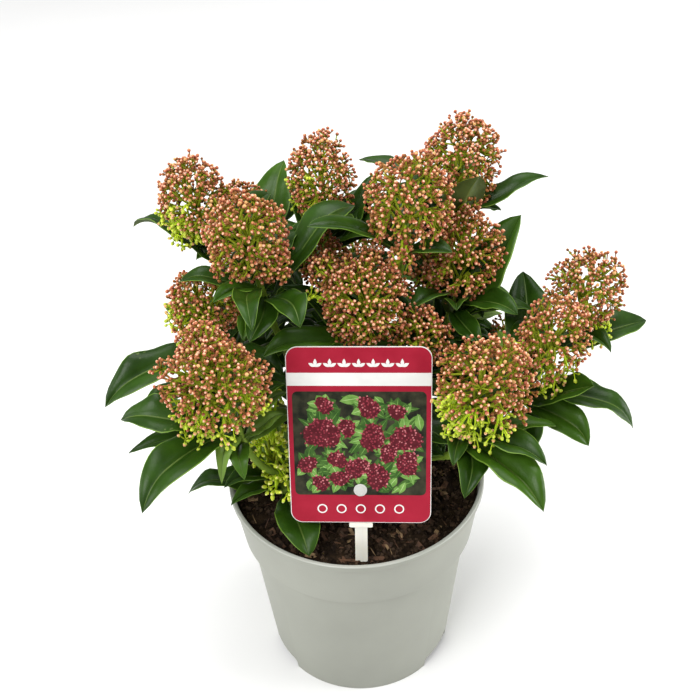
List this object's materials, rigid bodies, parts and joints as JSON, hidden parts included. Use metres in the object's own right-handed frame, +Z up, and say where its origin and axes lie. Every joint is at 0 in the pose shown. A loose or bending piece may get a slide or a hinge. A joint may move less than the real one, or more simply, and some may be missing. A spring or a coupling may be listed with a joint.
{
  "type": "potted flowering skimmia",
  "caption": "Bushy evergreen skimmia in bloom: round heads of pink buds over glossy pointed leaves, in a plain round grey pot with a wordless picture label on a push-in holder.",
  "frame": {"origin": "centre of the pot's flat underside, on the surface the pot stands on", "axes": "+Z up along the pot's axis, -Y towards the side the label card faces, +X to the right when the label is faced"},
  "size_m": [0.3837, 0.3105, 0.4133],
  "materials": {
    "pot_plastic": "matte, pale sage grey",
    "soil_mix": "rough and dark, bark and peat",
    "trunk_bark": "rough grey-brown bark",
    "bough_bark": "olive-brown young bark",
    "foliage": "glossy leaves and matte pink buds",
    "label_print": "smooth printed card",
    "holder_plastic": "milky white moulding"
  },
  "bodies": {
    "root": {"pot": "pot_plastic", "soil": "soil_mix", "trunk": "trunk_bark", "bough_front_left": "bough_bark", "bough_left": "bough_bark", "bough_left_top": "bough_bark", "bough_left_back": "bough_bark", "bough_top_left": "bough_bark", "bough_top": "bough_bark", "bough_right_back": "bough_bark", "bough_right_front": "bough_bark", "bough_right": "bough_bark", "bough_back_left": "bough_bark", "bough_back": "bough_bark", "bough_back_right": "bough_bark", "mass_front_left": "foliage", "mass_left": "foliage", "mass_left_top": "foliage", "mass_left_back": "foliage", "mass_top_left": "foliage", "mass_centre": "foliage", "mass_top": "foliage", "mass_right_back": "foliage", "mass_right_front": "foliage", "mass_right": "foliage", "mass_back_left": "foliage", "mass_back": "foliage", "mass_back_right": "foliage", "label_card": "label_print", "label_holder": "holder_plastic"}
  },
  "joints": []
}
